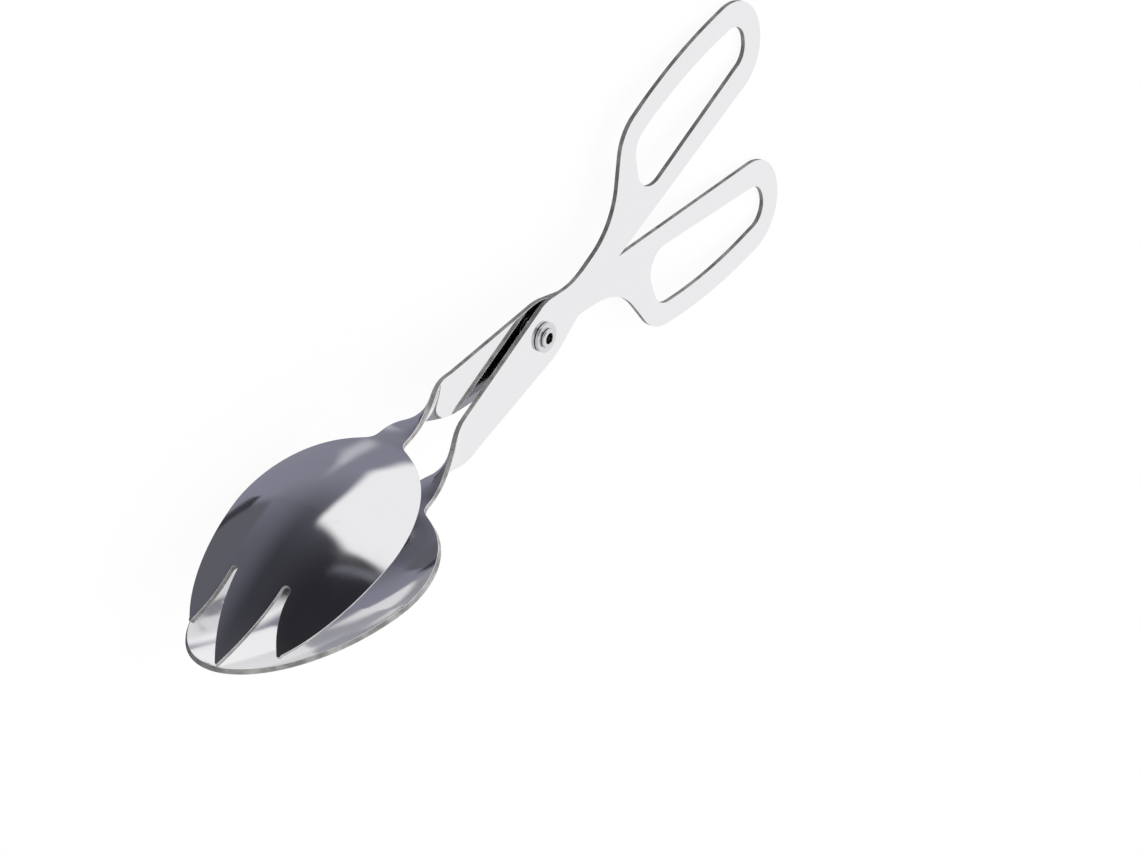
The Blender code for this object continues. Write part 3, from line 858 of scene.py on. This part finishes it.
def rivet_steel(colour, roughness):
    """Bright drawn and pressed steel of the rivet and its washers."""
    # Drawn steel: soft highlights broken by a fine grain
    material, tree, shader = new_metal("bright_rivet_steel", colour, roughness)
    grain = noise(tree, (-550, 0), RIVET_GRAIN_SIZE, 4.0)
    grained = bump(tree, (-250, -100), grain, 0.25, RIVET_GRAIN_DEPTH)
    tree.links.new(grained.outputs["Normal"], shader.inputs["Normal"])
    return material


# Stage


def studio_world():
    """Light the scene: white for the camera and for dull surfaces, a softbox studio for mirrors.

    The softbox and the white sweep fill the bearings from the softbox's two edges, one
    upright and one sloping, round to the far side, down to a skyline near the horizon.
    A paler grey wall fills the +X side, and high up everything is white. Below, the
    tabletop mirrors as slate, fading to black towards the camera's side, with a thin
    bright streak, a darker patch straight below and a dark bar along its edge. A faint
    rim runs beside the softbox's sloping edge. Faces that mirror each other see the
    table brighter, because the space between them is lit through the gaps.
    """
    world = bpy.data.worlds.new("studio")
    bpy.context.scene.world = world
    world.use_nodes = True
    tree = world.node_tree
    tree.nodes.clear()
    direction = add_node(tree, "ShaderNodeTexCoord", (-2400, 0)).outputs["Generated"]
    parts = add_node(tree, "ShaderNodeSeparateXYZ", (-2200, 0))
    tree.links.new(direction, parts.inputs["Vector"])
    x, y, z = (parts.outputs[axis] for axis in "XYZ")

    def joined(node, values):
        for slot, value in enumerate(values):
            if isinstance(value, float):
                node.inputs[slot].default_value = value
            else:
                tree.links.new(value, node.inputs[slot])
        return node.outputs[0]

    def calculate(operation, *values):
        return joined(add_node(tree, "ShaderNodeMath", (-1400, 0), operation=operation), values)

    def rise(value, start, end, low=0.0, high=1.0):
        node = add_node(tree, "ShaderNodeMapRange", (-1700, 0), interpolation_type="SMOOTHSTEP")
        return joined(node, (value, start, end, low, high))

    def blend(share, first, second):
        node = add_node(tree, "ShaderNodeMix", (-900, 0), data_type="RGBA")
        for name, value in (("Factor", share), ("A", first), ("B", second)):
            slot = next(i for i in node.inputs if i.name == name and i.enabled)
            if isinstance(value, (list, tuple)):
                slot.default_value = value
            else:
                tree.links.new(value, slot)
        return next(o for o in node.outputs if o.enabled)

    def product(*values):
        result = values[0]
        for value in values[1:]:
            result = calculate("MULTIPLY", result, value)
        return result

    def along(normal):
        node = add_node(tree, "ShaderNodeVectorMath", (-1900, -300), {1: normal}, operation="DOT_PRODUCT")
        tree.links.new(direction, node.inputs[0])
        return node.outputs["Value"]

    turned = calculate("MULTIPLY", calculate("ARCTAN2", y, x), 180.0 / math.pi)
    bearing = calculate("WRAP", turned, 360.0, 0.0)
    far_skyline = rise(bearing, *SKYLINE_FAR_BEARINGS, *SKYLINE_FAR)
    near_skyline = rise(bearing, *SKYLINE_NEAR_BEARINGS, *SKYLINE_NEAR)
    over_skyline = calculate("SUBTRACT", z, calculate("ADD", far_skyline, near_skyline))
    softbox = product(
        rise(bearing, *SOFTBOX_EDGE), rise(along(SLOPE_NORMAL), *SLOPE_SOFTNESS),
        rise(over_skyline, *SKYLINE_SOFTNESS), rise(bearing, *SWEEP_END))
    beside = calculate("MAXIMUM", rise(bearing, *SIDE_WALL_START), rise(bearing, *SIDE_WALL_END))
    side_wall = product(beside, rise(z, *SIDE_WALL_FOOT), SIDE_WALL_SHARE)
    white = calculate("MAXIMUM", calculate("MAXIMUM", softbox, side_wall), rise(z, *CEILING))

    dark_wall = blend(rise(z, *DARK_WALL_FADE), linear("2C2C31"), linear("3F3F46"))
    dark_floor = blend(rise(z, *DARK_FLOOR_FADE), dark_wall, linear("646470"))
    slate_share = product(rise(bearing, *SLATE_BEARINGS), rise(z, *SLATE_HEIGHTS))
    slate = blend(slate_share, dark_floor, linear("8D8D9C"))
    steep = rise(z, *STEEP_HEIGHTS)
    ahead = calculate("DIVIDE", x, calculate("MAXIMUM", calculate("MULTIPLY", z, -1.0), LEAST_FALL))
    shadowed = blend(product(steep, rise(ahead, *UNDER_EDGE)), slate, linear("66666F"))
    bar = product(rise(ahead, *BAR_START), rise(ahead, *BAR_END), steep, rise(bearing, *BAR_BEARINGS))
    room = blend(rise(x, *GREY_END_FADE), blend(bar, shadowed, linear("38383D")), linear("6E6E76"))
    off_rim = calculate("ABSOLUTE", along(RIM_NORMAL))
    rim = product(rise(off_rim, *RIM_WIDTH), rise(z, *RIM_FOOT), rise(z, *RIM_TOP))
    streak = product(
        rise(z, *STREAK_FOOT), rise(z, *STREAK_TOP),
        rise(bearing, *STREAK_NEAR), rise(bearing, *STREAK_FAR), STREAK_SHARE)
    lower = blend(streak, blend(rim, room, linear("7A7A84")), STREAK_COLOUR)
    path = add_node(tree, "ShaderNodeLightPath", (-2400, 300))
    between = rise(path.outputs["Glossy Depth"], *SECOND_MIRROR)
    lit = product(rise(bearing, *LIT_START), rise(bearing, *LIT_END), rise(z, *LIT_HEIGHTS))
    lit_share = product(between, calculate("MAXIMUM", lit, LIT_LEAST))
    seen = blend(white, blend(lit_share, lower, SOFTBOX_COLOUR), SOFTBOX_COLOUR)

    def background(colour, strength):
        node = add_node(tree, "ShaderNodeBackground", (-300, 0), {"Strength": strength})
        if isinstance(colour, tuple):
            node.inputs["Color"].default_value = colour
        else:
            tree.links.new(colour, node.inputs["Color"])
        return node.outputs["Background"]

    def choose(share, first, second):
        return joined(add_node(tree, "ShaderNodeMixShader", (0, 0)), (share, first, second))

    white_room = background(WHITE, ROOM_LIGHT)
    indirect = choose(path.outputs["Is Glossy Ray"], white_room, background(seen, 1.0))
    shader = choose(path.outputs["Is Camera Ray"], indirect, background(WHITE, 1.0))
    output = add_node(tree, "ShaderNodeOutputWorld", (300, 0))
    tree.links.new(shader, output.inputs["Surface"])


def level_sheet(name, low, high, height, material):
    """Make a level rectangle between two corners."""
    corners = [(low[0], low[1]), (high[0], low[1]), (high[0], high[1]), (low[0], high[1])]
    vertices = np.column_stack([np.array(corners), np.full(4, height)])
    return new_mesh_object(name, vertices, [(0, 1, 2, 3)], [material])


def white_floor():
    """Make the level tabletop: white for the camera, with a faint shadow, and unseen by mirrors."""
    material = bpy.data.materials.new("white_tabletop")
    material.use_nodes = True
    tree = material.node_tree
    shader = tree.nodes["Principled BSDF"]
    shader.inputs["Base Color"].default_value = linear("F6F6F6")
    shader.inputs["Roughness"].default_value = 0.9
    shader.inputs["Specular IOR Level"].default_value = 0.0
    glow = add_node(tree, "ShaderNodeEmission", (0, 200), {"Color": WHITE, "Strength": 1.0})
    path = add_node(tree, "ShaderNodeLightPath", (-400, 400))
    share = add_node(tree, "ShaderNodeMath", (-200, 400), {1: BACKDROP_SHARE}, operation="MULTIPLY")
    mixed = add_node(tree, "ShaderNodeMixShader", (300, 100))
    tree.links.new(path.outputs["Is Camera Ray"], share.inputs[0])
    tree.links.new(share.outputs["Value"], mixed.inputs["Fac"])
    tree.links.new(shader.outputs["BSDF"], mixed.inputs[1])
    tree.links.new(glow.outputs["Emission"], mixed.inputs[2])
    tree.links.new(mixed.outputs["Shader"], tree.nodes["Material Output"].inputs["Surface"])
    side = FLOOR_SIDE / 2
    floor = level_sheet("white_tabletop", (-side, -side), (side, side), -FLOOR_DROP, material)
    floor.visible_glossy = False
    return floor


def painted_reflection_card():
    """Lay the small glowing card under the blades' tips that only mirrors see, a painted reflection rather
    than a lamp.
    """
    material = bpy.data.materials.new("glowing_reflection_card")
    material.use_nodes = True
    tree = material.node_tree
    tree.nodes.clear()
    # The card glows though it is no lamp: it paints a bright reflection into the blades' tips
    glow = add_node(tree, "ShaderNodeEmission", (0, 0), {"Color": SOFTBOX_COLOUR, "Strength": 1.0})
    output = add_node(tree, "ShaderNodeOutputMaterial", (200, 0))
    tree.links.new(glow.outputs["Emission"], output.inputs["Surface"])
    card = level_sheet("glowing_reflection_card", CARD_LOW, CARD_HIGH, -FLOOR_DROP / 2, material)
    card.visible_camera = False
    card.visible_diffuse = False
    card.visible_shadow = False
    return card


def overhead_lamp():
    """Hang a large soft lamp over the tongs for the floor's faint shadow."""
    data = bpy.data.lights.new("overhead_lamp", "AREA")
    data.shape = "SQUARE"
    data.size = LAMP_SIDE
    data.energy = LAMP_POWER
    lamp = bpy.data.objects.new("overhead_lamp", data)
    lamp.location = (0.0, 0.0, LAMP_HEIGHT)
    lamp.visible_glossy = False
    bpy.context.scene.collection.objects.link(lamp)


def photograph_camera():
    """Place the camera as the photograph has it."""
    data = bpy.data.cameras.new("camera")
    data.lens = CAMERA_LENS
    data.sensor_width = SENSOR_WIDTH
    data.sensor_fit = "HORIZONTAL"
    data.shift_y = CAMERA_LIFT_SHARE
    data.clip_start = CAMERA_NEAREST
    camera = bpy.data.objects.new("camera", data)
    camera.location = CAMERA_PLACE
    camera.rotation_euler = [math.radians(a) for a in CAMERA_TURN_DEGREES]
    bpy.context.scene.collection.objects.link(camera)
    bpy.context.scene.camera = camera


# Add-on


class TongsSettings(bpy.types.PropertyGroup):
    """Lips, colours and polish of the tongs."""

    lip_radius: FloatProperty(
        name="Lip radius", description="How far every cut edge is rounded",
        subtype="DISTANCE", unit="LENGTH", min=0.05 * MM, max=0.6 * MM, default=LIP_RADIUS * MM)
    sheet_colour: FloatVectorProperty(
        name="Sheet colour", description="Linear colour of the polished sheet",
        subtype="COLOR", size=3, min=0.0, max=1.0, default=linear("E2E2E3")[:3])
    sheet_roughness: FloatProperty(
        name="Sheet roughness", description="How dull the polished faces are",
        subtype="FACTOR", min=0.0, max=1.0, default=0.07)
    edge_colour: FloatVectorProperty(
        name="Edge colour", description="Linear colour of the lighter parts of the cut edges",
        subtype="COLOR", size=3, min=0.0, max=1.0, default=linear("D2D1CF")[:3])
    edge_roughness: FloatProperty(
        name="Edge roughness", description="How dull the cut edges are",
        subtype="FACTOR", min=0.0, max=1.0, default=0.78)
    rivet_roughness: FloatProperty(
        name="Rivet roughness", description="How dull the rivet and washers are",
        subtype="FACTOR", min=0.0, max=1.0, default=0.16)


def material_named(name, make, *values):
    """Return the finish of that name, making it the first time."""
    return bpy.data.materials.get(name) or make(*values)


def sheet_materials():
    """Return the two finishes of an arm: its polished faces and its cut edge."""
    settings = bpy.context.scene.tongs_settings
    sheet_colour = (*settings.sheet_colour, 1.0)
    edge_colour = (*settings.edge_colour, 1.0)
    return [
        material_named("polished_stainless_sheet", polished_sheet, sheet_colour, settings.sheet_roughness),
        material_named("tumbled_cut_edge", cut_edge, edge_colour, settings.edge_roughness),
    ]


class TONGS_OT_spoon_arm(bpy.types.Operator):
    """Model the arm that ends in the plain spoon blade"""

    bl_idname = "tongs.spoon_arm"
    bl_label = "Spoon arm"

    def execute(self, context):
        arm = arm_object("spoon_arm_sheet", plain_blade_edge(), False, sheet_materials())
        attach(arm, "spoon_side")
        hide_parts("spoon_arm")
        return {"FINISHED"}


class TONGS_OT_fork_arm(bpy.types.Operator):
    """Model the arm that ends in the slotted fork blade"""

    bl_idname = "tongs.fork_arm"
    bl_label = "Fork arm"

    def execute(self, context):
        arm = arm_object("fork_arm_sheet", tined_blade_edge(), True, sheet_materials())
        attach(arm, "fork_side")
        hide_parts("fork_arm")
        return {"FINISHED"}


class TONGS_OT_rivet(bpy.types.Operator):
    """Model the semi-tubular rivet and its four washers"""

    bl_idname = "tongs.rivet"
    bl_label = "Rivet and washers"

    def execute(self, context):
        roughness = context.scene.tongs_settings.rivet_roughness
        steel = [material_named("bright_rivet_steel", rivet_steel, linear("CFCFD0"), roughness)]
        spacing = HEAD_WASHER_THICKNESS + SEAT_GAP
        under_fork = -ARM_FACE - spacing
        stack = [
            ("tail_washer", ARM_FACE + SEAT_GAP, TAIL_WASHER_THICKNESS, TAIL_WASHER_DIAMETER),
            ("spacer_washer", -SPACER_THICKNESS / 2, SPACER_THICKNESS, SPACER_DIAMETER),
            ("head_washer_inner", under_fork, HEAD_WASHER_THICKNESS, HEAD_WASHER_DIAMETER),
            ("head_washer_outer", under_fork - spacing, HEAD_WASHER_THICKNESS, HEAD_WASHER_DIAMETER),
        ]
        pieces = [("rivet", rivet_profile(), False)]
        pieces += [(name, washer_profile(z, t, d), True) for name, z, t, d in stack]
        for name, profile, closed in pieces:
            piece = lathe_object(name + "_turned", profile, closed, steel)
            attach(piece, "spoon_side")
            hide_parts(name)
        return {"FINISHED"}


class TONGS_OT_stage(bpy.types.Operator):
    """Set up the white tabletop, the studio's light and the camera"""

    bl_idname = "tongs.stage"
    bl_label = "Studio stage"

    def execute(self, context):
        studio_world()
        white_floor()
        painted_reflection_card()
        overhead_lamp()
        photograph_camera()
        context.scene.view_settings.view_transform = "Standard"
        return {"FINISHED"}


class TONGS_PT_panel(bpy.types.Panel):
    """Lists the tongs' pieces"""

    bl_idname = "TONGS_PT_panel"
    bl_label = "Tongs"
    bl_space_type = "VIEW_3D"
    bl_region_type = "UI"
    bl_category = "Tongs"

    def draw(self, context):
        settings = context.scene.tongs_settings
        for name in settings.bl_rna.properties.keys():
            if name.startswith(("lip", "sheet", "edge", "rivet")):
                self.layout.prop(settings, name)
        for operator in OPERATORS:
            self.layout.operator(operator.bl_idname)


OPERATORS = (TONGS_OT_spoon_arm, TONGS_OT_fork_arm, TONGS_OT_rivet, TONGS_OT_stage)
CLASSES = (TongsSettings,) + OPERATORS + (TONGS_PT_panel,)


def register():
    """Register the add-on's classes and settings."""
    for cls in CLASSES:
        bpy.utils.register_class(cls)
    bpy.types.Scene.tongs_settings = PointerProperty(type=TongsSettings)


def unregister():
    """Remove the add-on's classes and settings."""
    del bpy.types.Scene.tongs_settings
    for cls in reversed(CLASSES):
        bpy.utils.unregister_class(cls)


def main():
    """Build every piece and the stage."""
    register()
    bpy.ops.tongs.spoon_arm()
    bpy.ops.tongs.fork_arm()
    bpy.ops.tongs.rivet()
    bpy.ops.tongs.stage()


if __name__ == "__main__":
    main()
